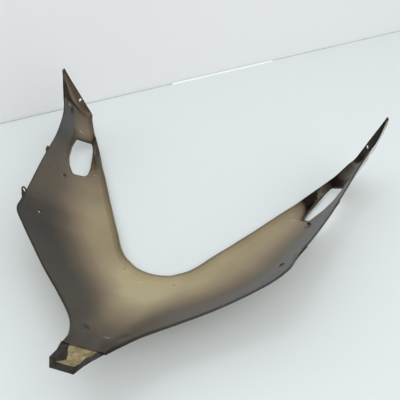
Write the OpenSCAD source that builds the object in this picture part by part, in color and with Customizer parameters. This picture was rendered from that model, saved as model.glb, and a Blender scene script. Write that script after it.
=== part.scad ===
// Scooter front panel: one V shaped moulded shell, shown hollow side up.
// The arms end in upturned horns, each arm has one lamp opening in a sunk seat,
// and the tail at the point of the V is a small open box.
// Lengths are in millimetres. The panel is the same on both sides of x = 0.

/* [Shell] */
// wall thickness of the moulding
wall = 2.5; // [2:0.1:3.5]
// height of the lip that is folded up along the inside of the V
lip_h = 5; // [3:0.5:7]
// how deep the shell is hollowed, as a share of the drawn depth
crown = 1; // [0.8:0.05:1.2]

/* [Lamp openings] */
// clear rim left round the lamp opening in the floor of its seat
seat_rim = 1.5; // [1:0.5:4]
// width of the sloped side of the lamp seat
seat_slope = 9; // [6:0.5:12]
// radius of the corners of the lamp opening
opening_r = 6; // [4:0.5:8]

// how far the foot of the lip leans out beside the opening
foot_in = 4; // [3:0.5:5]

/* [Screw points] */
// bore of the screw hole near the foot of each horn
horn_hole_d = 5.5; // [4:0.1:6]
// bore of the hole in each side tab
tab_hole_d = 4.5; // [3:0.1:5]
// diameter of the locating pin below each lamp opening
pin_d = 4; // [3:0.1:6]
// how far that pin stands off the inside surface
pin_h = 3.5; // [2:0.5:6]
// bore of the clip hole low on each arm
clip_hole_d = 5; // [3:0.1:6]

/* [Side tabs] */
// length of the side tab along the outer edge
tab_l = 14; // [12:0.5:18]
// how far the side tab stands out past the outer edge
tab_out = 7.5; // [6.5:0.5:9]
// length of the small tooth higher up the outer edge
tooth_l = 13; // [8:0.5:18]
// how far the tooth stands out past the outer edge
tooth_out = 4; // [2:0.5:6]

/* [Tail and horns] */
// side wall of that tray
box_wall = 2.2; // [1.8:0.1:2.8]
// where the fold of the horn lies, as a share of its width
fold_at = 0.4; // [0.35:0.05:0.55]

/* [Hidden] */
// Stations of the right half, from the centre line to the tip of the horn.
// Each one is: point on the inner edge, point on the outer edge, depth of the hollow,
// and the share of the lip height at that place.
ST = [
  [[0, 0, 7], [0, -169, 111.5], 9, 1],
  [[8, 0.5, 7], [8.5, -169, 111.5], 9, 1],
  [[14, 1.7, 7], [15.5, -160, 108.5], 9, 1],
  [[19, 3, 7], [18.6, -142, 93], 9, 1],
  [[24, 5, 7.5], [24, -125, 79], 9, 1],
  [[29, 8, 8], [36, -106, 69], 9, 1],
  [[35, 11.5, 8.5], [61, -83, 64], 10, 1],
  [[42, 17.5, 9], [88, -61, 64], 11, 1],
  [[49.6, 27.2, 9], [114, -38, 66], 12, 1],
  [[57, 39, 8], [134, -20, 71], 13, 1],
  [[64, 50, 6.5], [146, -8, 79], 14, 1],
  [[74, 65, 4.5], [151, 7, 77], 14, 1],
  [[84, 81, 2.5], [156, 23, 73], 13, 1],
  [[95, 98, 0.5], [164, 46, 67.5], 12, 1],
  [[110, 122, -2], [174, 76, 61.5], 11, 1],
  [[125, 146, -4.5], [183, 105, 56], 10.5, 1],
  [[141, 170, -6.5], [190.5, 133, 51.5], 10, 1],
  [[157, 195, -7.5], [198, 160, 47.5], 10, 1],
  [[173, 220, -8], [206, 188, 47], 9.5, 1],
  [[188, 243, -7], [213, 210, 48.5], 9, 1],
  [[204, 270, -3], [218.8, 225, 52.7], 8.5, 0.8],
  [[213, 286.5, -4], [222, 232, 57.5], 8, 0.4],
  [[218, 283.5, 14], [226.5, 241, 61], 8, 0.1],
  [[224, 278, 40], [230, 249, 67.5], 5, 0],
  [[230, 272.5, 65], [232.5, 257, 76], 2.5, 0],
  [[235, 268, 85], [234.3, 264, 84], 0.5, 0]
];
NS = len(ST);

// Lamp seat: centre, direction along it, direction across it and inward normal.
SC = [176.2, 176.85, -1.7];
SA = [0.371, 0.924, -0.099];
SQ = [0.693, -0.204, 0.691];
SN = cross(SQ, SA);
// Outline of the lamp opening in its own plane, along and across.
OPEN_PQ = [
  [52.6, -13], [37, -16.2], [22, -17.4], [-10, -17.4], [-28, -14.8], [-41, -9.6],
  [-51, 9.5], [-36, 16.6], [-18.5, 19.4], [10, 18.2], [39.5, 13]
];

// Rounds the corners of an outline, each with an arc of n steps that starts r before it.
function rounded(pts, r, n) = [for (i = [0:len(pts) - 1]) let (
  b = pts[i], a = pts[(i + len(pts) - 1) % len(pts)], c = pts[(i + 1) % len(pts)],
  p = b + unit(a - b) * min(r, norm(a - b) * 0.4), q = b + unit(c - b) * min(r, norm(c - b) * 0.4))
  for (j = [0:n]) let (f = j / n) (1 - f) * (1 - f) * p + 2 * f * (1 - f) * b + f * f * q];

// Tilt and shift that set the panel down on the table.
tilt = 6.9;
shift = [0, -52.34, -2.21];

function unit(v) = v / norm(v);
function mirrored(s) = [[-s[0][0], s[0][1], s[0][2]], [-s[1][0], s[1][1], s[1][2]], s[2], s[3]];
function station(i) = i < 0 ? mirrored(ST[-i]) : i >= NS ? 2 * ST[NS - 1] - ST[2 * NS - 2 - i] : ST[i];
function blend(a, b, c, d, f) =
  0.5 * (2 * b + (c - a) * f + (2 * a - 5 * b + 4 * c - d) * f * f + (3 * b - a - 3 * c + d) * f * f * f);
function at(u, k) = let (i = min(floor(u), NS - 2), f = u - i)
  blend(station(i - 1)[k], station(i)[k], station(i + 1)[k], station(i + 2)[k], f);
function smooth(x) = let (c = max(0, min(1, x))) c * c * (3 - 2 * c);

// Frame of a section: chord direction and outward direction.
function chord(u) = at(u, 1) - at(u, 0);
function travel(u) = u < 0.001 ? [1, 0, 0] :
  let (e = 0.05) at(u + e, 0) - at(u - e, 0) + smooth((u - 5) / 4) * (at(u + e, 1) - at(u - e, 1));
function outward(u) = unit(cross(travel(u), chord(u)));

// Signed distance outside the lamp opening, in its plane.
function edge_dist(x, a, b) = let (e = unit(b - a)) (x[0] - a[0]) * e[1] - (x[1] - a[1]) * e[0];
function open_dist(x) = max([for (i = [0:len(OPEN_PQ) - 1])
  -edge_dist(x, OPEN_PQ[i], OPEN_PQ[(i + 1) % len(OPEN_PQ)])]);

// Depth of the hollow below the straight line from edge to edge. It runs out down the
// tail, and in the horn it becomes a fold that starts at the foot of the inner edge.
function hollow(u, t, y) = let (
  tail = 1 - smooth((-y - 90) / 60),
  horn = smooth((u - 20.3) / 1.4),
  m = 0.02 + fold_at * smooth((u - 20.6) / 1.9),
  f = t < m ? t / m : (1 - t) / (1 - m))
  crown * at(u, 2) * (4 * t * (1 - t) * (1 - horn) * tail + (f < 0.94 ? f : 0.94 + (f - 0.94) * 0.5) * horn);
// How far the inside surface stands back from the drawn edges, so that the outside of
// the wall runs along them.
function set_in(u, t, o) =
  (0.7 + 2.2 * at(u, 3) * (0.45 + 0.55 * smooth((o - 2) / 10))) * (1 - t) - 0.7 * smooth((u - 21) / 2) * t;
// Point of the inside surface at section u, s mm away from the inner edge.
function base_point(u, s) = let (c = chord(u), l = norm(c), t = s / l, p = at(u, 0) + c * t,
  o = open_dist([(p - SC) * SA, (p - SC) * SQ]))
  p + unit(c) * set_in(u, t, o) + outward(u) * (hollow(u, t, p[1]) - 0.8 * wall * t * t
  + lip_h * at(u, 3) * smooth(s / 3) * (1 - smooth((t - 0.1) / 0.5)));
// The lamp seat: the surface is drawn down to the plane of the opening all round it, with
// a longer slope at its upper end. The foot of the lip leans out there.
function seated(u, s) = let (p = base_point(u, s), d = p - SC, a = d * SA,
  o = open_dist([a, d * SQ]),
  w = smooth(1 - (o - seat_rim) / (seat_slope + 5 * smooth((a - 20) / 35))) * smooth(s / 1.8))
  p - SN * (w * max(0, d * SN)) - SQ * (w * foot_in * (1 - smooth((s - 2) / 6)));
// Direction in which the wall is laid on, turned aside at the lip.
function wall_dir(u, s) = let (k = 1 - smooth((s - 1.5) / 4))
  unit(outward(u) * (1 - k) - unit(chord(u)) * k);

// Distances from the inner edge at which each section is drawn.
function steps(u) = let (l = norm(chord(u)), m = min(6, l * 0.3))
  concat([0, m * 0.2, m * 0.4, m * 0.7, m], [for (i = [1:11]) m + (l - m) * i / 11]);
function set_down(p) = let (c = cos(tilt), s = sin(tilt))
  [p[0], p[1] * c - p[2] * s, p[1] * s + p[2] * c] + shift;

// Sections are drawn closer together round the lamp seat and in the horn.
US = concat([for (i = [0:25]) i / 2], [for (i = [0:36]) 13 + i / 3]);
NU = len(US) - 1;
NT = 16;
function side_of(j, i, out) = let (u = US[abs(i)], s = steps(u)[j],
  p = seated(u, s) + (out ? wall * wall_dir(u, s) : [0, 0, 0]))
  set_down([i < 0 ? -p[0] : p[0], p[1], p[2]]);

module shell() {
  cols = 2 * NU + 1;
  inner = [for (i = [-NU:NU]) for (j = [0:NT - 1]) side_of(j, i, false)];
  outer = [for (i = [-NU:NU]) for (j = [0:NT - 1]) side_of(j, i, true)];
  n = cols * NT;
  top = [for (i = [0:cols - 2]) for (j = [0:NT - 2]) let (a = i * NT + j)
    each [[a, a + NT, a + 1], [a + 1, a + NT, a + NT + 1]]];
  bottom = [for (f = top) [f[2] + n, f[1] + n, f[0] + n]];
  rim_in = [for (i = [0:cols - 2]) let (a = i * NT) each [[a, a + n, a + NT], [a + NT, a + n, a + n + NT]]];
  rim_out = [for (i = [0:cols - 2]) let (a = i * NT + NT - 1)
    each [[a, a + NT, a + n], [a + NT, a + n + NT, a + n]]];
  end_a = [for (j = [0:NT - 2]) each [[j, j + 1, j + n], [j + 1, j + 1 + n, j + n]]];
  z = (cols - 1) * NT;
  end_b = [for (j = [0:NT - 2]) each [[z + j, z + j + n, z + j + 1], [z + j + 1, z + j + n, z + j + 1 + n]]];
  polyhedron(concat(inner, outer), concat(top, bottom, rim_in, rim_out, end_a, end_b), convexity = 10);
}

// Places children with x along, y across and z inward at a point of the right half.
module place(o, a, q) {
  x = unit(a);
  z = unit(cross(x, q));
  y = cross(z, x);
  translate(shift) rotate([tilt, 0, 0])
    multmatrix([[x[0], y[0], z[0], o[0]], [x[1], y[1], z[1], o[1]], [x[2], y[2], z[2], o[2]], [0, 0, 0, 1]])
      children();
}
module both() {
  children();
  mirror([1, 0, 0]) children();
}

// The tail steps up into an open tray. These are the points of the right half, from the
// neck to the point: along the rim and along the outside of the floor.
RIM = [[18.3, -140, 93.2], [15.8, -151, 101.5], [13.9, -161.5, 110.8], [9.7, -169, 111]];
FLOOR = [[17.4, -137, 90], [12.8, -147, 92.3], [9.3, -152, 96], [6.5, -158, 97.5]];
// The same points moved in by the wall, for the space inside. The rim is broader at the end.
RIM_IN = [for (i = [0:3]) RIM[i] + [[0, 8, 6], [0.8, 0.5, 6], [1.6, -1.5, 6], [1.2, 0.8, 6]][i] - [box_wall, 0, 0]];
FLOOR_IN = [for (i = [0:3]) FLOOR[i] + [[0, 6, 0.5], [0, 1, 2.5], [0, 1.5, 2.5], [0.7, 2.5, 2.5]][i] - [box_wall, 0, 0]];
module tray_solid(rim, flr) {
  half = concat(rim, flr);
  pts = [for (p = concat(half, [for (p = half) [-p[0], p[1], p[2]]])) set_down(p)];
  polyhedron(pts, [
    [0, 1, 8], [1, 9, 8], [1, 2, 9], [2, 10, 9], [2, 3, 10], [3, 11, 10],
    [4, 12, 5], [5, 12, 13], [5, 13, 6], [6, 13, 14], [6, 14, 7], [7, 14, 15],
    [0, 4, 1], [1, 4, 5], [1, 5, 2], [2, 5, 6], [2, 6, 3], [3, 6, 7],
    [8, 9, 12], [9, 13, 12], [9, 10, 13], [10, 14, 13], [10, 11, 14], [11, 15, 14],
    [0, 8, 4], [4, 8, 12], [3, 7, 11], [7, 15, 11]]);
}
module tail_box() {
  color([0.3, 0.28, 0.24]) difference() {
    tray_solid(RIM, FLOOR);
    tray_solid(RIM_IN, FLOOR_IN);
  }
}
// What lies beyond the foot of the tail is cut from the shell, and the tray takes its place.
module tail_cut() {
  translate([-30, -263, 0]) cube([60, 59.5, 150]);
}

// Thin tab with its screw hole, its long slope running down to the corner of the panel.
module side_tab() {
  color([0.36, 0.33, 0.28]) place([156, 23, 72.5], [0.309, 0.926, -0.226], [0.358, -0.317, 0.878])
    translate([0, 0, -0.8 * wall]) difference() {
      linear_extrude(height = wall)
        polygon([[4.5, -4], [3.7, tab_out - 2.5], [2.2, tab_out - 0.5], [0, tab_out + 0.3], [-2.4, tab_out - 0.6],
          [5 - tab_l, tab_out - 4.2], [-1 - tab_l, -1], [-1 - tab_l, -4]]);
      translate([0, tab_out - 3.8, -1]) cylinder(h = wall + 2, d = tab_hole_d, $fn = 32);
    }
}
// Small tooth on the outer edge, square at its upper end and sloped below.
module tooth() {
  color([0.36, 0.33, 0.28]) place([187.4, 121.5, 52.8], [0.25, 0.955, -0.155], [0.36, -0.25, 0.9])
    translate([0, 0, -0.8 * wall]) linear_extrude(height = wall)
      polygon([[5, -3], [5, tooth_out], [5 - tooth_l / 2, tooth_out], [5 - tooth_l, 0], [5 - tooth_l, -3]]);
}

// Turns children so that their z points along n, at a point of the right half.
module facing(o, n) {
  a = cross(n, [0, 0, 1]);
  place(o, a, cross(n, a)) children();
}
HORN_O = [222.8, 277, 27.3];
HORN_N = [-0.895, -0.43, 0.12];
CLIP_O = [138.5, 14.5, 54.6];
CLIP_N = [-0.7, 0.36, 0.61];
PIN_O = [161, 105, 27];
PIN_N = [-0.62, 0.36, 0.7];
module bores() {
  facing(HORN_O, HORN_N) cylinder(h = 16, d = horn_hole_d, center = true, $fn = 48);
  facing(CLIP_O, CLIP_N) cylinder(h = 16, d = clip_hole_d, center = true, $fn = 48);
}
module locating_pin() {
  color([0.3, 0.28, 0.24]) facing(PIN_O, PIN_N) translate([0, 0, -1.5]) cylinder(h = pin_h + 1.5, d = pin_d, $fn = 32);
}

module lamp_cut() {
  place(SC, SA, SQ) translate([0, 0, -3]) linear_extrude(height = 15) polygon(rounded(OPEN_PQ, opening_r, 2));
}

module front_panel() {
  color([0.36, 0.33, 0.28]) difference() {
    shell();
    both() lamp_cut();
    both() bores();
    tail_cut();
  }
  tail_box();
  both() side_tab();
  both() tooth();
  both() locating_pin();
}

front_panel();
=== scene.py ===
import bpy, bmesh, math
import numpy as np
from mathutils import Matrix, Vector


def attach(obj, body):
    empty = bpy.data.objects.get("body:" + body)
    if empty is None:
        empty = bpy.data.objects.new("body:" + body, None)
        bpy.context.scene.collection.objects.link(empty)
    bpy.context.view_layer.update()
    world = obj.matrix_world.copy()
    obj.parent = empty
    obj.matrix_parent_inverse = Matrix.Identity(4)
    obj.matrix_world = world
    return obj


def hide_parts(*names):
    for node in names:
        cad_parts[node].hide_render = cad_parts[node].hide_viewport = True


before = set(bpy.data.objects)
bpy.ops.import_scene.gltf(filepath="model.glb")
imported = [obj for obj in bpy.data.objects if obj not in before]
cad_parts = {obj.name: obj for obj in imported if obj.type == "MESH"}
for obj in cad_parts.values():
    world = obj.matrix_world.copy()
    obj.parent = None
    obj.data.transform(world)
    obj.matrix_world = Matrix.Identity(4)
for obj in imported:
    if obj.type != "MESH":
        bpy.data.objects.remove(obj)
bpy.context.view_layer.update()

# The surface follows the solid's stations and formulae on a finer grid. The last three stations of the
# horn are a little fuller here. All measures are in mm until down() turns them into metres.
WALL, LIP = 2.5, 5.0
TILT, SHIFT = math.radians(6.9), np.array([0.0, -52.34, -2.21])
# Stations of one arm: points on the inner and the outer edge, depth of the hollow, share of the lip.
ST = [
    ((0, 0, 7), (0, -169, 111.5), 9, 1),
    ((8, 0.5, 7), (8.5, -169, 111.5), 9, 1),
    ((14, 1.7, 7), (15.5, -160, 108.5), 9, 1),
    ((19, 3, 7), (18.6, -142, 93), 9, 1),
    ((24, 5, 7.5), (24, -125, 79), 9, 1),
    ((29, 8, 8), (36, -106, 69), 9, 1),
    ((35, 11.5, 8.5), (61, -83, 64), 10, 1),
    ((42, 17.5, 9), (88, -61, 64), 11, 1),
    ((49.6, 27.2, 9), (114, -38, 66), 12, 1),
    ((57, 39, 8), (134, -20, 71), 13, 1),
    ((64, 50, 6.5), (146, -8, 79), 14, 1),
    ((74, 65, 4.5), (151, 7, 77), 14, 1),
    ((84, 81, 2.5), (156, 23, 73), 13, 1),
    ((95, 98, 0.5), (164, 46, 67.5), 12, 1),
    ((110, 122, -2), (174, 76, 61.5), 11, 1),
    ((125, 146, -4.5), (183, 105, 56), 10.5, 1),
    ((141, 170, -6.5), (190.5, 133, 51.5), 10, 1),
    ((157, 195, -7.5), (198, 160, 47.5), 10, 1),
    ((173, 220, -8), (206, 188, 47), 9.5, 1),
    ((188, 243, -7), (213, 210, 48.5), 9, 1),
    ((204, 270, -3), (218.8, 225, 52.7), 8.5, 0.8),
    ((213, 286.5, -4), (222, 232, 57.5), 8, 0.4),
    ((218, 283.5, 14), (226.5, 241, 61), 8, 0.1),
    ((224, 278, 40), (230, 249, 67.5), 6, 0),
    ((230, 272.5, 65), (232.5, 257, 76), 3.8, 0),
    ((234.9, 269.2, 84.5), (234.3, 263.2, 82.8), 1.6, 0),
]
NS = len(ST)
# Lamp seat: middle, direction along the arm, direction across it and normal.
SC = np.array([176.2, 176.85, -1.7])
SA = np.array([0.371, 0.924, -0.099])
SQ = np.array([0.693, -0.204, 0.691])
SN = np.cross(SQ, SA)
# Outline of the lamp opening along and across the seat.
OPEN = [(52.6, -13), (37, -16.2), (22, -17.4), (-10, -17.4), (-28, -14.8), (-41, -9.6),
        (-51, 9.5), (-36, 16.6), (-18.5, 19.4), (10, 18.2), (39.5, 13)]
BAND = 6.0  # width of the finely divided band along the lip
SEAT_RIM, SEAT_SLOPE, FOOT_IN, FOLD_AT = 1.5, 9.0, 4.0, 0.4


def rows(k):
    """Values of column k at all stations, with one more before the first and one after the last."""
    a = [np.atleast_1d(np.array(s[k], float)) for s in ST]
    ghost = a[1].copy()
    if k < 2:
        ghost[0] = -ghost[0]
    return np.array([ghost] + a + [2 * a[-1] - a[-2]])


TAB = [rows(k) for k in range(4)]


def at(u, k):
    """Column k at station u, on a smooth curve through the stations."""
    u = np.asarray(u, float)
    i = np.minimum(np.floor(u), NS - 2).astype(int)
    f = (u - i)[..., None]
    t = TAB[k]
    a, b, c = t[i], t[i + 1], t[i + 2]
    d = t[np.minimum(i + 3, NS + 1)]
    square, cube = 2 * a - 5 * b + 4 * c - d, 3 * b - a - 3 * c + d
    return 0.5 * (2 * b + (c - a) * f + square * f ** 2 + cube * f ** 3)


def smooth(x):
    x = np.clip(x, 0, 1)
    return x * x * (3 - 2 * x)


def unit(v):
    v = np.asarray(v, float)
    return v / np.linalg.norm(v, axis=-1, keepdims=True)


def travel(u):
    """Direction in which the chord moves on from station to station."""
    e = 0.05
    w = smooth((u - 5) / 4)[..., None]
    lo = np.where(u < e, 0.0, u - e)
    d = at(u + e, 0) - at(lo, 0) + w * (at(u + e, 1) - at(lo, 1))
    return np.where((u < 0.001)[..., None], np.array([1.0, 0, 0]), d)


def open_dist(p, q):
    """Distance to the outline of the lamp opening, below zero inside it."""
    best = np.full(p.shape, -1e9)
    for i in range(len(OPEN)):
        a, b = np.array(OPEN[i]), np.array(OPEN[(i + 1) % len(OPEN)])
        e = (b - a) / np.linalg.norm(b - a)
        best = np.maximum(best, -((p - a[0]) * e[1] - (q - a[1]) * e[0]))
    return best


def surface(u, s):
    """Inside points and the direction the wall is laid on, for arrays u and s of one shape."""
    chord = at(u, 1) - at(u, 0)
    length = np.linalg.norm(chord, axis=-1)
    c = chord / length[..., None]
    out = unit(np.cross(travel(u), chord))
    t = s / length
    depth, lip = at(u, 2)[..., 0], at(u, 3)[..., 0]
    p = at(u, 0) + chord * t[..., None]
    o = open_dist((p - SC) @ SA, (p - SC) @ SQ)
    tail = 1 - smooth((-p[..., 1] - 90) / 60)
    horn = smooth((u - 20.3) / 1.4)
    m = 0.02 + FOLD_AT * smooth((u - 20.6) / 1.9)
    f = np.where(t < m, t / m, (1 - t) / (1 - m))
    f = np.where(f < 0.94, f, 0.94 + (f - 0.94) * 0.5)
    hollow = depth * (4 * t * (1 - t) * (1 - horn) * tail + f * horn)
    set_in = (0.7 + 2.2 * lip * (0.45 + 0.55 * smooth((o - 2) / 10))) * (1 - t)
    set_in = set_in - 0.7 * smooth((u - 21) / 2) * t
    p = p + c * set_in[..., None]
    raised = LIP * lip * smooth(s / 3) * (1 - smooth((t - 0.1) / 0.5))
    p = p + out * (hollow - 0.8 * WALL * t * t + raised)[..., None]
    d = p - SC
    a = d @ SA
    o = open_dist(a, d @ SQ)
    w = smooth(1 - (o - SEAT_RIM) / (SEAT_SLOPE + 5 * smooth((a - 20) / 35))) * smooth(s / 1.8)
    foot = w * FOOT_IN * (1 - smooth((s - 2) / 6))
    p = p - SN * (w * np.maximum(d @ SN, 0))[..., None] - SQ * foot[..., None]
    turn = (1 - smooth((s - 1.5) / 4))[..., None]
    return p, unit(out * (1 - turn) - c * turn), t, o


def down(p):
    """From the drawing frame of the panel to the table, in metres."""
    p = np.asarray(p, float)
    c, s = math.cos(TILT), math.sin(TILT)
    q = np.stack([p[..., 0], p[..., 1] * c - p[..., 2] * s, p[..., 1] * s + p[..., 2] * c], -1)
    return (q + SHIFT) / 1000


def turned(v):
    """A direction, from the drawing frame to the table's."""
    v = np.asarray(v, float)
    c, s = math.cos(TILT), math.sin(TILT)
    return np.stack([v[..., 0], v[..., 1] * c - v[..., 2] * s, v[..., 1] * s + v[..., 2] * c], -1)


def frame_matrix(origin, axes):
    """Matrix from an origin and three axes that are given in the drawing frame."""
    m = Matrix.Identity(4)
    for j, v in enumerate((*(turned(x) for x in axes), down(origin))):
        for i in range(3):
            m[i][j] = v[i]
    return m


def place(origin, along, across):
    x = unit(along)
    z = unit(np.cross(x, across))
    return frame_matrix(origin, (x, np.cross(z, x), z))


def as_drawn(m):
    return m


def mirror_x(m):
    return Matrix.Diagonal((-1, 1, 1, 1)) @ m


def to_mesh(bm, name):
    me = bpy.data.meshes.new(name)
    bm.to_mesh(me)
    bm.free()
    return me


def link(name, data):
    ob = bpy.data.objects.new(name, data)
    bpy.context.scene.collection.objects.link(ob)
    return ob


def new_object(name, bm, mats):
    me = to_mesh(bm, name)
    ob = link(name, me)
    for m in mats:
        me.materials.append(m)
    return ob


def circle(r, n=40, x=0, y=0):
    angles = [2 * math.pi * i / n for i in range(n)]
    return [(x + r * math.cos(a), y + r * math.sin(a)) for a in angles]


def ring(bm, pts, z):
    return [bm.verts.new((x / 1000, y / 1000, z / 1000)) for x, y in pts]


def edges_of(bm, loop):
    return [bm.edges.get((v, loop[(i + 1) % len(loop)])) for i, v in enumerate(loop)]


def prism(pts, z0, z1, matrix, hole=None):
    """Closed prism over a polygon given in mm, optionally with a round hole (x, y, r)."""
    bm = bmesh.new()
    n = len(pts)
    lo, hi = ring(bm, pts, z0), ring(bm, pts, z1)
    if hole is None:
        bm.faces.new(lo[::-1])
        bm.faces.new(hi)
    for i in range(n):
        bm.faces.new((lo[i], lo[(i + 1) % n], hi[(i + 1) % n], hi[i]))
    if hole is not None:
        x, y, r = hole
        bore = circle(r, 32, x, y)
        lo_bore, hi_bore = ring(bm, bore, z0), ring(bm, bore, z1)
        for i in range(len(bore)):
            j = (i + 1) % len(bore)
            bm.faces.new((lo_bore[j], lo_bore[i], hi_bore[i], hi_bore[j]))
        for rim, inner in ((lo, lo_bore), (hi, hi_bore)):
            bmesh.ops.triangle_fill(bm, use_beauty=True, edges=edges_of(bm, rim) + edges_of(bm, inner))
    bmesh.ops.recalc_face_normals(bm, faces=bm.faces)
    bm.transform(matrix)
    if matrix.determinant() < 0:
        bmesh.ops.reverse_faces(bm, faces=bm.faces)
    bmesh.ops.recalc_face_normals(bm, faces=bm.faces)
    return bm


def eased(p, u, rounds, k=slice(None)):
    """Evens the surface out between the root of the V and the tail, and leaves both edges."""
    nr = p.shape[1]
    q = p[..., k].copy()
    for _ in range(rounds):
        r = q.copy()
        r[1:-1] = 0.5 * q[1:-1] + 0.25 * (q[:-2] + q[2:])
        q = r
    w = (1 - smooth((u - 5.5) / 3))[:, None] * np.sin(np.linspace(0, math.pi, nr))[None, :] ** 0.5
    out = p.copy()
    out[..., k] += (q - p[..., k]) * w[..., None]
    return out


def both_halves(a):
    return np.concatenate([a[:0:-1], a])


def make_grid(columns=261, fine=11, coarse=59):
    """For both halves: inside points, wall direction, station, distance and share across, and
    distance to the lamp opening. The first points across, close to the lip, lie closer together."""
    uh = np.linspace(0, NS - 1, columns)
    length = np.linalg.norm(at(uh, 1) - at(uh, 0), axis=-1)[:, None]
    m = np.minimum(BAND, length * 0.3)
    s = np.concatenate([m * np.linspace(0, 1, fine), m + (length - m) * np.arange(1, coarse + 1) / coarse], 1)
    u = np.repeat(uh[:, None], fine + coarse, 1)
    p, w, t, o = surface(u, s)
    inner, direc = (np.concatenate([(v * (-1, 1, 1))[:0:-1], v]) for v in (p, w))
    ua = both_halves(uh)
    inner = eased(eased(inner, ua, 60), ua, 320, slice(2, 3))
    return inner, unit(eased(direc, ua, 120)), both_halves(u), both_halves(s), both_halves(t), both_halves(o)


GRID = make_grid()


# Materials
def linear(v):
    return v / 12.92 if v <= 0.04045 else ((v + 0.055) / 1.055) ** 2.4


def srgb(r, g, b):
    return linear(r / 255), linear(g / 255), linear(b / 255), 1


def nodes_of(mat):
    mat.use_nodes = True
    nt = mat.node_tree
    return nt, nt.nodes, nt.links, nt.nodes["Principled BSDF"]


def ramp(nt, stops):
    r = nt.nodes.new("ShaderNodeValToRGB")
    while len(r.color_ramp.elements) < len(stops):
        r.color_ramp.elements.new(0.5)
    for e, (p, c) in zip(r.color_ramp.elements, stops):
        e.position = p
        e.color = c
    return r


def feed(nt, sock, value):
    """Sets a socket to a number or a tuple, or links it to another node's output."""
    if value is None:
        return
    if isinstance(value, (int, float, tuple)):
        sock.default_value = value
    else:
        nt.links.new(value, sock)


def math_node(nt, op, a, b, clamp=False):
    n = nt.nodes.new("ShaderNodeMath")
    n.operation = op
    n.use_clamp = clamp
    for sock, v in zip(n.inputs, (a, b)):
        feed(nt, sock, v)
    return n.outputs[0]


def noise(nt, pos, scale, detail=3, rough=0.55, out="Fac"):
    n = nt.nodes.new("ShaderNodeTexNoise")
    n.inputs["Scale"].default_value = scale
    n.inputs["Detail"].default_value = detail
    n.inputs["Roughness"].default_value = rough
    nt.links.new(pos, n.inputs["Vector"])
    return n.outputs[out]


def mix_color(nt, fac, a, b):
    n = nt.nodes.new("ShaderNodeMix")
    n.data_type = "RGBA"
    for i, v in ((0, fac), (6, a), (7, b)):
        feed(nt, n.inputs[i], v)
    return n.outputs[2]


def vec(nt, op, a, b=None):
    n = nt.nodes.new("ShaderNodeVectorMath")
    n.operation = op
    for sock, v in zip(n.inputs, (a, b)):
        feed(nt, sock, v)
    return n


def centred(nt, value, size):
    """A noise value moved to either side of zero."""
    return math_node(nt, "MULTIPLY", math_node(nt, "SUBTRACT", value, 0.5), size)


def grey_ramp(nt, fac, low, high):
    r = ramp(nt, [(0.0, (low, low, low, 1)), (1.0, (high, high, high, 1))])
    nt.links.new(fac, r.inputs["Fac"])
    return r.outputs["Color"]


def bump(nt, height, strength, distance, shader):
    n = nt.nodes.new("ShaderNodeBump")
    n.inputs["Strength"].default_value = strength
    n.inputs["Distance"].default_value = distance
    nt.links.new(height, n.inputs["Height"])
    nt.links.new(n.outputs["Normal"], shader.inputs["Normal"])


def marks(nt, pos, places):
    """1 inside any of the long spots on the surface, 0 outside them."""
    best = None
    for centre, axis, half_l, half_w in places:
        m = nt.nodes.new("ShaderNodeMapping")
        m.vector_type = "TEXTURE"
        m.inputs["Location"].default_value = tuple(down(centre))
        m.inputs["Rotation"].default_value = Vector(turned(axis)).to_track_quat("X", "Z").to_euler()
        m.inputs["Scale"].default_value = (half_l / 1000, half_w / 1000, half_w / 1000)
        nt.links.new(pos, m.inputs["Vector"])
        r = vec(nt, "LENGTH", m.outputs["Vector"]).outputs["Value"]
        best = r if best is None else math_node(nt, "MINIMUM", best, r)
    g = nt.nodes.new("ShaderNodeMapRange")
    g.interpolation_type = "SMOOTHSTEP"
    g.inputs["From Min"].default_value = 1.3
    g.inputs["From Max"].default_value = 0.7
    nt.links.new(best, g.inputs["Value"])
    return g.outputs["Result"]


# Small marks of wear, and four marks of painted light noted below: side, station, share of the
# width, angle to the arm in degrees, half length and half width in mm.
DARK_MARKS = [
    (1, 3.34, 0.80, 10, 4.2, 2.5), (-1, 2.15, 0.69, 30, 3.9, 2.4), (1, 1.1, 0.745, -10, 3.6, 0.7),
    (1, 15.0, 0.95, 0, 5.5, 1.8), (1, 14.45, 0.93, 15, 3.5, 1.2), (1, 16.2, 0.90, 5, 5.0, 1.3),
    (1, 10.78, 0.80, 80, 5.8, 3.3), (1, 14.3, 0.62, 75, 6.0, 2.2),
    (1, 11.15, 0.955, 15, 4.5, 1.2), (1, 11.6, 0.94, 65, 4.0, 0.9), (1, 12.0, 0.90, 40, 5.0, 0.9),
    (1, 12.4, 0.94, 10, 4.5, 1.2), (1, 12.75, 0.96, 50, 4.0, 1.0), (1, 10.3, 0.96, 5, 4.0, 1.1),
    (-1, 14.5, 0.88, 55, 3.4, 0.8), (-1, 12.4, 0.89, 60, 3.0, 0.7), (-1, 10.8, 0.90, 35, 5.5, 0.8),
    # the last mark on the next line is painted shade in the hollow at the foot of the left horn
    (-1, 11.9, 0.93, 20, 3.0, 0.8), (-1, 15.7, 0.87, 75, 3.2, 0.7), (-1, 20.35, 0.60, 10, 8.5, 3.4),
    # the first mark on the next line is painted shade on the outer facet of the left horn
    (-1, 21.5, 0.86, 0, 9.0, 2.6), (1, 4.3, 0.08, 10, 1.3, 0.6), (-1, 5.2, 0.05, 10, 1.4, 0.7),
]
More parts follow.
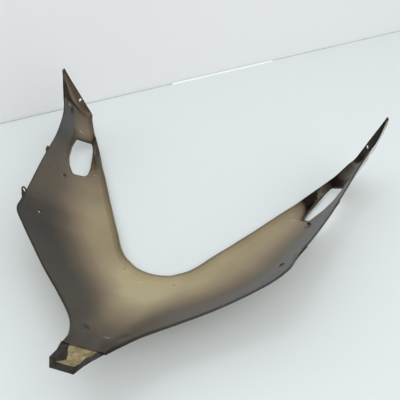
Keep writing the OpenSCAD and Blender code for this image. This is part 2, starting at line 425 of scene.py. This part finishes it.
LIGHT_MARKS = [
    (-1, 1.05, 0.06, 10, 3.5, 0.9), (1, 0.9, 0.69, 10, 4.0, 0.6), (-1, 14.45, 0.63, 70, 2.8, 0.5),
    # the last mark on the next line is a painted highlight on the lit edge above the left lamp opening
    (-1, 15.5, 0.09, 10, 3.0, 1.0), (1, 15.0, 0.18, 60, 5.0, 0.9), (-1, 18.95, 0.25, 70, 5.0, 1.0),
    (1, 12.2, 0.86, 40, 5.0, 0.7), (1, 11.8, 0.97, 10, 3.0, 0.6), (1, 16.6, 0.86, 5, 6.0, 0.8),
    # the mark on the next line is a painted highlight on the ledge of the left horn
    (-1, 20.85, 0.74, 60, 2.8, 1.4),
]


def spot(side, u, t, angle, half_l, half_w):
    """Turns a mark's place on the grid into a centre, a direction and its half sizes."""
    p, tt = GRID[0], GRID[4]
    mid = len(p) // 2
    i = mid + side * int(round(u * mid / (NS - 1)))
    j = int(np.argmin(np.abs(tt[i] - t)))
    along = unit(p[i + side] - p[i - side])[j]
    across = unit(p[i, min(j + 1, tt.shape[1] - 1)] - p[i, j - 1])
    a = math.radians(angle)
    return p[i, j], along * math.cos(a) + across * math.sin(a), half_l, half_w


def spots(nt, pos, places, share, base, tone):
    """Lays marks of one tone over a colour."""
    fac = math_node(nt, "MULTIPLY", marks(nt, pos, [spot(*m) for m in places]), share)
    return mix_color(nt, fac, base, tone)


def inside_material():
    """Bare plastic with overspray, darkening, painted shade and painted highlights. The mesh carries how much
    of each tone lies where.
    """
    mat = bpy.data.materials.new("inside_plastic")
    nt, nd, lk, bs = nodes_of(mat)
    pos = nd.new("ShaderNodeTexCoord").outputs["Object"]
    share = {}
    for name in ("overspray_and_painted_light", "darkening_and_shade", "cool", "side"):
        node = nd.new("ShaderNodeAttribute")
        node.attribute_name = name
        share[name] = node.outputs["Fac"]
    big = noise(nt, pos, 22, 4)
    fine = noise(nt, pos, 900, 2)
    # overspray from the mesh, with its painted highlights and painted shade
    cloudy = math_node(nt, "ADD", share["overspray_and_painted_light"], centred(nt, big, 0.22))
    f = math_node(nt, "ADD", cloudy, centred(nt, fine, 0.10), True)
    r = ramp(nt, [(0.0, srgb(50, 45, 38)), (0.3, srgb(93, 80, 63)), (0.6, srgb(130, 114, 90)),
                  (0.85, srgb(158, 143, 112)), (1.0, srgb(180, 166, 130))])
    lk.new(f, r.inputs["Fac"])
    speck = math_node(nt, "SUBTRACT", noise(nt, pos, 420, 3, 0.75), 0.5)
    # bare grey plastic, lighter on the right arm as a painted reflection
    grey = mix_color(nt, share["side"], srgb(62, 62, 63), srgb(98, 98, 97))
    grey = mix_color(nt, math_node(nt, "MULTIPLY", speck, 1.6, True), grey, srgb(48, 47, 45))
    col = mix_color(nt, share["cool"], r.outputs["Color"], grey)
    # the marks' outlines are bent a little, so that none is a plain ellipse
    wave = vec(nt, "SUBTRACT", noise(nt, pos, 420, 2, 0.5, "Color"), (0.5, 0.5, 0.5))
    bend = vec(nt, "SCALE", wave.outputs["Vector"])
    bend.inputs["Scale"].default_value = 0.0022
    bent = vec(nt, "ADD", pos, bend.outputs["Vector"]).outputs["Vector"]
    # marks of wear; four of them are painted shade and painted highlights on the left horn and above the left
    # lamp opening
    col = spots(nt, bent, DARK_MARKS, 0.92, col, srgb(20, 13, 9))
    col = spots(nt, bent, LIGHT_MARKS, 0.6, col, srgb(205, 192, 160))
    # dark share from the mesh, broken up by noise: painted shade, darker edges, a darker right horn and tail
    dark_mottle = math_node(nt, "ADD", noise(nt, pos, 260, 4, 0.7), 0.5)
    darkening_and_shade = math_node(nt, "MULTIPLY", share["darkening_and_shade"], dark_mottle, True)
    lk.new(mix_color(nt, darkening_and_shade, col, srgb(36, 27, 22)), bs.inputs["Base Color"])
    # dark places shine less
    shine = math_node(nt, "SUBTRACT", 1.0, math_node(nt, "MULTIPLY", darkening_and_shade, 0.85))
    lk.new(math_node(nt, "MULTIPLY", shine, 0.3), bs.inputs["Specular IOR Level"])
    lk.new(grey_ramp(nt, big, 0.36, 0.50), bs.inputs["Roughness"])
    bump(nt, fine, 0.06, 0.0006, bs)
    return mat


def outside_material():
    mat = bpy.data.materials.new("outside_paint")
    nt, nd, lk, bs = nodes_of(mat)
    pos = nd.new("ShaderNodeTexCoord").outputs["Object"]
    flake = noise(nt, pos, 2600, 1)
    big = noise(nt, pos, 12, 3)
    r = ramp(nt, [(0.3, srgb(128, 112, 88)), (0.75, srgb(164, 148, 118))])
    lk.new(flake, r.inputs["Fac"])
    col = mix_color(nt, math_node(nt, "MULTIPLY", big, 0.35), r.outputs["Color"], srgb(120, 106, 86))
    lk.new(col, bs.inputs["Base Color"])
    lk.new(grey_ramp(nt, big, 0.34, 0.44), bs.inputs["Roughness"])
    bs.inputs["Metallic"].default_value = 0.55
    bs.inputs["Coat Weight"].default_value = 0.8
    bs.inputs["Coat Roughness"].default_value = 0.08
    bump(nt, noise(nt, pos, 500, 2), 0.04, 0.0005, bs)
    return mat


def tray_material(name, dark, light):
    mat = bpy.data.materials.new(name)
    nt, nd, lk, bs = nodes_of(mat)
    pos = nd.new("ShaderNodeTexCoord").outputs["Object"]
    r = ramp(nt, [(0.38, dark), (0.62, light)])
    lk.new(noise(nt, pos, 160, 5, 0.65), r.inputs["Fac"])
    lk.new(r.outputs["Color"], bs.inputs["Base Color"])
    bs.inputs["Roughness"].default_value = 0.5
    bs.inputs["Specular IOR Level"].default_value = 0.25
    return mat


INSIDE, OUTSIDE = inside_material(), outside_material()
# tray tones: overspray and bare black plastic; on the outer faces and rim the dark tone is painted shade as
# well
TRAY_LIGHT = tray_material("tray_overspray", srgb(122, 106, 72), srgb(172, 156, 116))
TRAY_DARK = tray_material("tray_dark", srgb(24, 20, 17), srgb(54, 46, 40))
MATERIALS = (INSIDE, OUTSIDE, TRAY_LIGHT, TRAY_DARK)
LIGHT, DARK = 2, 3  # places of the tray's materials in that row


def quads(*corners):
    return np.stack(corners, 1).tolist()


def shell_mesh():
    """Inside, outside and rims of the wall. The outer edge is rounded by one row of points past it."""
    inner, direc = GRID[:2]
    outer = inner + WALL * direc
    nc, nr = inner.shape[:2]
    edge = (inner[:, -1] + outer[:, -1]) / 2 + unit(inner[:, -1] - inner[:, -2]) * 0.5
    verts = np.concatenate([down(inner).reshape(-1, 3), down(outer).reshape(-1, 3), down(edge)])
    n = nc * nr
    i = (np.arange(nc - 1)[:, None] * nr + np.arange(nr - 1)[None, :]).reshape(-1)
    a, b = np.arange(nc - 1), np.arange(nr - 1)
    first, last, mid = a * nr, a * nr + nr - 1, 2 * n + a
    z = (nc - 1) * nr
    inside = quads(i, i + nr, i + nr + 1, i + 1)
    outside = quads(i + n, i + 1 + n, i + nr + 1 + n, i + nr + n)
    rims = quads(first, first + n, first + nr + n, first + nr)
    rims += quads(last, last + nr, mid + 1, mid) + quads(mid, mid + 1, last + nr + n, last + n)
    rims += quads(b, b + 1, b + 1 + n, b + n) + quads(z + b, z + b + n, z + b + 1 + n, z + b + 1)
    rims += [(nr - 1, 2 * n, n + nr - 1), (z + nr - 1, z + nr - 1 + n, 2 * n + nc - 1)]
    me = bpy.data.meshes.new("panel_shell")
    me.from_pydata(verts.tolist(), [], inside + outside + rims)
    me.polygons.foreach_set("material_index", [0] * len(inside) + [1] * len(outside) + [0] * len(rims))
    for m in MATERIALS:
        me.materials.append(m)
    return me


def rise(x, start, width):
    """0 up to the start, 1 from start plus width on."""
    return smooth((x - start) / width)


def shell_tones():
    """Shares of overspray (with painted highlights and shade), of darkening (much of it painted shade) and of
    cool grey, and which arm it is, for the inside's points.
    """
    inner, _, u, s, t, o = GRID
    x, y = inner[..., 0], inner[..., 1]
    left = np.where(x < 0, 1.0, 0.0)
    right = 1 - left
    along = (inner * np.where(x < 0, -1, 1)[..., None] ** np.array([1, 0, 0]) - SC) @ SA
    arm, horn = rise(u, 4, 5), rise(u, 20.2, 0.8)
    fold = 0.02 + FOLD_AT * rise(u, 20.6, 1.9)
    # overspray: thick along the inside of the V, thin towards the outer edge and the tail
    high_l = 0.80 - 0.26 * rise(u, 12, 3.5) - 0.16 * rise(u, 19, 1.2)
    low_l = 0.02 + 0.18 * rise(u, 11.3, 1.7) * (1 - rise(u, 15.5, 2))
    high_r = 0.86 - 0.15 * rise(u, 14, 2) - 0.42 * rise(u, 17.6, 1.2)
    high = 0.98 + arm * (np.where(left > 0, high_l, high_r) - 0.98)
    low = 0.08 + arm * (np.where(left > 0, low_l, 0.24) - 0.08)
    spread = 0.66 + arm * left * (-0.06 + 0.12 * rise(u, 11.5, 2))
    overspray_and_painted_light = low + (high - low) * (1 - rise(t, 0.12, spread))
    # painted highlight at the root of the V
    overspray_and_painted_light = overspray_and_painted_light + 0.06 * smooth(1 - np.hypot(x + 4, y + 32) / 50)
    # painted shade around the upper part of the lamp openings
    overspray_and_painted_light = overspray_and_painted_light * (1 - 0.35 * (1 - rise(o, 1, 14)) * rise(along, -30, 50))
    # horns: a little overspray and a painted highlight along the fold on the left, none on the right
    crest_highlight = 1 - smooth(np.abs(t - fold + 0.04) / 0.17)
    overspray_and_painted_light = overspray_and_painted_light * (1 - horn) + horn * (np.where(left > 0, 0.2, 0.0) + 0.3 * crest_highlight * left)
    # cool grey: bare plastic on the outer zone of the right arm and the neck of the left horn; the material
    # makes it lighter on the right arm as a painted reflection
    outer_zone = np.maximum(rise(t, 0.55, 0.22), 0.85 * rise(u, 18.2, 1) * rise(t, 0.1, 0.2))
    cool = left * rise(t, 0.4, 0.25) * rise(u, 17.5, 1.2) * (1 - rise(u, 20.6, 0.6)) * 0.9
    cool = cool + right * outer_zone * arm * (1 - rise(u, 20.3, 0.7)) * 0.9
    # darkening: both edges, the sides of the tail and the right horn; painted shade around the lamp openings,
    # along the right arm's inner side and in the left horn
    solid = o > -1
    darkening_and_shade = 0.6 * (1 - smooth((1 - t) * 45)) + 0.5 * (1 - rise(s, 0.2, 1.2))
    # painted shade around the upper part of each lamp opening
    darkening_and_shade = darkening_and_shade + 0.55 * (1 - rise(o, 0.5, 5)) * rise(along, -10, 45) * solid
    # painted shade along the right arm's inner side, beside and above its lamp opening and up to the horn
    inner_side_shade = right * (1 - rise(t, 0.34, 0.1)) * solid
    darkening_and_shade = darkening_and_shade + 0.95 * inner_side_shade * (1 - rise(o, 1.2, 4.8)) * rise(along, -58, 10)
    darkening_and_shade = darkening_and_shade + 0.75 * inner_side_shade * rise(u, 16.1, 0.8) * (1 - rise(u, 18.7, 0.6))
    darkening_and_shade = darkening_and_shade + 0.5 * right * rise(u, 18, 0.8) * (1 - rise(u, 20, 0.6)) * (1 - rise(t, 0.06, 0.2))
    # painted shade on the outer facet of the left horn and in the hollow at its foot
    flank_shade = rise(t - fold, 0.08, 0.1) * rise(u, 20.9, 0.5) * (1 - rise(u, 23.2, 0.9))
    ledge_shade = (1 - smooth(np.abs(t - 0.6) / 0.12)) * (1 - smooth(np.abs(u - 20.4) / 0.7))
    darkening_and_shade = darkening_and_shade + left * (flank_shade * 0.95 + 0.8 * ledge_shade)
    # the right horn darker, and the sides of the tail
    darkening_and_shade = darkening_and_shade + right * horn * 0.75 + 0.3 * rise(-y, 118, 14) * rise(np.abs(x), 6, 10)
    return {"overspray_and_painted_light": overspray_and_painted_light, "darkening_and_shade": darkening_and_shade, "cool": cool, "side": right}


def shell():
    me = shell_mesh()
    for name, v in shell_tones().items():
        v = np.concatenate([v.reshape(-1), v.reshape(-1), v[:, -1]])
        attribute = me.attributes.new(name, "FLOAT", "POINT")
        attribute.data.foreach_set("value", np.clip(v, 0, 1.1).astype(np.float32))
    ob = link("panel_shell", me)
    bm = bmesh.new()
    bm.from_mesh(me)
    bmesh.ops.recalc_face_normals(bm, faces=bm.faces)
    bm.to_mesh(me)
    bm.free()
    return ob


def facing(o, n):
    """Place at o with its z axis along n or straight against it."""
    a = np.cross(n, (0, 0, 1.0))
    return place(o, a, np.cross(n, a))


def rounded(pts, r, n):
    """The polygon with each corner rounded in n steps."""
    out = []
    m = len(pts)
    for i in range(m):
        a, b, c = (np.array(pts[(i + k) % m], float) for k in (-1, 0, 1))
        da, dc = np.linalg.norm(a - b), np.linalg.norm(c - b)
        ka, kc = min(r, da * 0.4), min(r, dc * 0.4)
        p, q = b + (a - b) / da * ka, b + (c - b) / dc * kc
        for j in range(n + 1):
            f = j / n
            out.append(tuple((1 - f) ** 2 * p + 2 * f * (1 - f) * b + f * f * q))
    return out


SEAT_M = place(SC, SA, SQ)
HORN_M = facing((222.8, 277, 27.3), (-0.895, -0.43, 0.12))
CLIP_M = facing((138.5, 14.5, 54.6), (-0.7, 0.36, 0.61))
PIN_M = facing((161, 105, 27), (-0.62, 0.36, 0.7))
LEAN = (0.34, -0.11, 0.935)  # direction in which side tab and tooth stand up
TAB_M = place((156, 23, 72.5), (0.309, 0.926, -0.226), LEAN)
TOOTH_M = place((186.8, 119.2, 53.2), (0.25, 0.955, -0.155), LEAN)
HORN_HOLE_R, CLIP_HOLE_R, TAB_HOLE_R, PIN_R, THROUGH = 2.75, 2.5, 2.75, 2.0, 8
TAB_OUT = 7.5
TAB_SHAPE = [(4.5, -4), (3.7, TAB_OUT - 2.5), (2.2, TAB_OUT - 0.5), (0, TAB_OUT + 0.3), (-2.4, TAB_OUT - 0.6),
             (-9, TAB_OUT - 4.2), (-15, -1), (-15, -4)]
TOOTH_SHAPE = [(5, -3), (5, 4), (-1.5, 4), (-8, 0), (-8, -3)]
# Square block over the end of the tail, which is cut off there.
TAIL_CUT = [(-30, -263), (30, -263), (30, -203.5), (-30, -203.5)]


def cut(ob, bm):
    co = new_object("cutter", bm, ob.data.materials)
    md = ob.modifiers.new("cut", "BOOLEAN")
    md.operation = "DIFFERENCE"
    md.solver = "EXACT"
    md.object = co
    dg = bpy.context.evaluated_depsgraph_get()
    res = bpy.data.meshes.new_from_object(ob.evaluated_get(dg))
    ob.modifiers.remove(md)
    old = ob.data
    ob.data = res
    bpy.data.meshes.remove(old)
    bpy.data.objects.remove(co)


def absorb(bm, other):
    """Adds the other's faces and frees it."""
    me = to_mesh(other, "added")
    bm.from_mesh(me)
    bpy.data.meshes.remove(me)


def join_all(ob, added):
    """Adds each body to the object, with its shares of overspray and darkening."""
    bm = bmesh.new()
    bm.from_mesh(ob.data)
    overspray_and_painted_light, darkening_and_shade = (bm.verts.layers.float.get(k) for k in ("overspray_and_painted_light", "darkening_and_shade"))
    for other, tone in added:
        k0 = len(bm.verts)
        absorb(bm, other)
        bm.verts.ensure_lookup_table()
        for v in bm.verts[k0:]:
            v[overspray_and_painted_light], v[darkening_and_shade] = tone
    bm.to_mesh(ob.data)
    bm.free()


# Tray at the point of the tail: right half of its rim and floor, then the same for its hollow.
RIM = np.array([(19.6, -140, 93.2), (15.8, -151, 101.5), (13.9, -161.5, 110.8), (9.7, -169, 111)])
FLOOR = np.array([(17.4, -137, 90), (12.8, -147, 92.3), (9.3, -152, 96), (6.5, -158, 97.5)])
RIM_IN = RIM + [(-2.2, 8, 6), (-1.4, 0.5, 6), (-0.6, -1.5, 6), (-1, 0.8, 6)]
FLOOR_IN = FLOOR + [(-2.2, 6, 0.5), (-2.2, 1, 2.5), (-2.2, 1.5, 2.5), (-1.5, 2.5, 2.5)]
TRAY = [(0, 8, 9, 1), (1, 9, 10, 2), (2, 10, 11, 3), (4, 5, 13, 12), (5, 6, 14, 13), (6, 7, 15, 14),
        (0, 1, 5, 4), (1, 2, 6, 5), (2, 3, 7, 6), (8, 12, 13, 9), (9, 13, 14, 10), (10, 14, 15, 11),
        (0, 4, 12, 8), (3, 11, 15, 7)]


def tray_solid(rim, flr, slots):
    """Closed tray body. The slots go with the faces of TRAY."""
    half = np.concatenate([rim, flr])
    bm = bmesh.new()
    v = [bm.verts.new(p) for p in down(np.concatenate([half, half * (-1, 1, 1)]))]
    for k, f in enumerate(TRAY):
        bm.faces.new([v[i] for i in f]).material_index = slots[k]
    bmesh.ops.triangulate(bm, faces=bm.faces)
    bmesh.ops.recalc_face_normals(bm, faces=bm.faces)
    return bm


def tray():
    # outer faces and rim: bare plastic, dark as painted shade too
    ob = new_object("tray", tray_solid(RIM, FLOOR, [DARK] * len(TRAY)), MATERIALS)
    hollow_slots = [DARK] * 3 + [LIGHT] * 3 + [DARK] + [LIGHT] * 2 + [DARK] * 4 + [LIGHT]
    cut(ob, tray_solid(RIM_IN, FLOOR_IN, hollow_slots))
    bm = bmesh.new()
    bm.from_mesh(ob.data)
    bmesh.ops.dissolve_limit(bm, angle_limit=math.radians(1), verts=bm.verts, edges=bm.edges,
                             delimit={"MATERIAL"})
    sharp = [e for e in bm.edges if len(e.link_faces) == 2 and e.calc_face_angle(0) > math.radians(25)]
    bmesh.ops.bevel(bm, geom=sharp, offset=0.0005, segments=2, affect="EDGES", clamp_overlap=True)
    bpy.data.objects.remove(ob)
    return bm


def build():
    ob = shell()
    cutters = bmesh.new()
    lamp = rounded(OPEN, 4.5, 6)
    for side in (as_drawn, mirror_x):
        absorb(cutters, prism(lamp, -3, 12, side(SEAT_M)))
        absorb(cutters, prism(circle(HORN_HOLE_R), -THROUGH, THROUGH, side(HORN_M)))
        absorb(cutters, prism(circle(CLIP_HOLE_R), -THROUGH, THROUGH, side(CLIP_M)))
    absorb(cutters, prism(TAIL_CUT, 0, 150, Matrix.Identity(4)))
    cut(ob, cutters)
    added = []
    for side, pin_tone in ((as_drawn, (0.25, 0.45)), (mirror_x, (0.28, 0.0))):
        tab = prism(TAB_SHAPE, -1.3, 0.1, side(TAB_M), (0, TAB_OUT - 3.9, TAB_HOLE_R))
        added.append((tab, (0.05, 0.5)))
        added.append((prism(TOOTH_SHAPE, -1.6, 0.1, side(TOOTH_M)), (0.05, 0.4)))
        added.append((prism(circle(PIN_R, 32), -1.5, 3.5, side(PIN_M)), pin_tone))
    added.append((tray(), (0.05, 0.5)))
    join_all(ob, added)
    for p in ob.data.polygons:
        p.use_smooth = True
    ob.data.set_sharp_from_angle(angle=math.radians(32))
    return ob


panel = build()
panel.name = "front_panel_moulding"
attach(panel, "root")
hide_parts("front_panel")


# Camera: its place and axes in the drawing frame, and its focal length for a frame of 400 px.
CAM = np.array([137.2, -285.7, 430.8])
RIGHT = np.array([0.9617, 0.2742, 0.0])
UP = np.array([-0.1921, 0.6740, 0.7134])
FWD = np.array([-0.1956, 0.6861, -0.7008])
FOCAL_PX, MIDDLE_PX = 460, 200
cam_d = bpy.data.cameras.new("camera")
cam = link("camera", cam_d)
cam.matrix_world = frame_matrix(CAM, (RIGHT, UP, -FWD))
cam_d.lens = 41.4
cam_d.sensor_width = 36
cam_d.clip_start = 0.01
cam_d.clip_end = 50
bpy.context.scene.camera = cam


def floor_point(px, py):
    """Place on the floor that is seen at a pixel of the frame."""
    d = turned(FWD + RIGHT * (px - MIDDLE_PX) / FOCAL_PX - UP * (py - MIDDLE_PX) / FOCAL_PX)
    o = down(CAM)
    return o + d * (-o[2] / d[2])


def flat_material(name, col, rough, one_sided=False):
    """Plain material, which can be clear when it is seen from behind."""
    mat = bpy.data.materials.new(name)
    _, nd, lk, bs = nodes_of(mat)
    bs.inputs["Base Color"].default_value = col
    bs.inputs["Roughness"].default_value = rough
    if one_sided:
        seen = nd.new("ShaderNodeNewGeometry")
        clear = nd.new("ShaderNodeBsdfTransparent")
        both = nd.new("ShaderNodeMixShader")
        lk.new(seen.outputs["Backfacing"], both.inputs[0])
        lk.new(bs.outputs[0], both.inputs[1])
        lk.new(clear.outputs[0], both.inputs[2])
        lk.new(both.outputs[0], nd["Material Output"].inputs["Surface"])
    return mat


# The floor meets the backdrop on a line from a to b, along d. The floor reaches towards n.
a, b = floor_point(0, 124), floor_point(400, 31)
d = (b - a) / np.linalg.norm(b - a)
n = np.array([d[1], -d[0], 0])
PAST_VIEW, FLOOR_DEPTH, WALL_HEIGHT = 3.0, 3.5, 2.5
c0, c1 = a - d * PAST_VIEW, b + d * PAST_VIEW
UPWARD = np.array([0, 0, WALL_HEIGHT])


def quad(name, corners, mat):
    bm = bmesh.new()
    bm.faces.new([bm.verts.new(v) for v in corners])
    return new_object(name, bm, [mat])


def on_floor(*corners):
    return [(x, y, 0.0) for x, y, _ in corners]


floor_corners = on_floor(c0, c1, c1 + n * FLOOR_DEPTH, c0 + n * FLOOR_DEPTH)
foot0, foot1 = (np.array(v) for v in on_floor(c0, c1))
floor = quad("floor", floor_corners[::-1], flat_material("floor_white", srgb(230, 234, 233), 0.4))
wall = quad("backdrop", (foot0, foot1, foot1 + UPWARD, foot0 + UPWARD),
            flat_material("wall_white", srgb(240, 239, 238), 0.8, True))


def strip(name, p0, p1, height, out, col):
    """Thin strip along the foot of the backdrop, between two places in view."""
    q = [a + d * float(np.dot(floor_point(*p) - a, d)) for p in (p0, p1)]
    lo = [(v[0] + n[0] * out, v[1] + n[1] * out, 0.0) for v in q]
    hi = [(v[0] + n[0] * 0.001, v[1] + n[1] * 0.001, height) for v in q]
    ob = quad(name, (lo[0], lo[1], hi[1], hi[0]), flat_material(name, col, 0.7))


strip("edge_line", (-60, 138), (460, 17), 0.0014, 0.0008, srgb(205, 207, 206))
strip("white_strip", (172, 84.5), (272, 61), 0.0026, 0.004, srgb(252, 252, 252))


def area(name, loc, size, energy):
    """Square light that points at the middle of the floor."""
    light = bpy.data.lights.new(name, "AREA")
    light.energy = energy
    light.size = size
    ob = link(name, light)
    ob.location = loc
    ob.rotation_euler = (-Vector(loc)).to_track_quat("-Z", "Y").to_euler()


area("key", (-0.7, 0.5, 1.6), 1.4, 15)
area("fill", (0.9, -0.9, 1.2), 1.6, 5)
world = bpy.data.worlds.new("studio")
bpy.context.scene.world = world
world.use_nodes = True
sky = world.node_tree.nodes["Background"]
sky.inputs[0].default_value = (0.93, 0.97, 1.0, 1)
sky.inputs[1].default_value = 0.95
bpy.context.scene.view_settings.view_transform = "Standard"
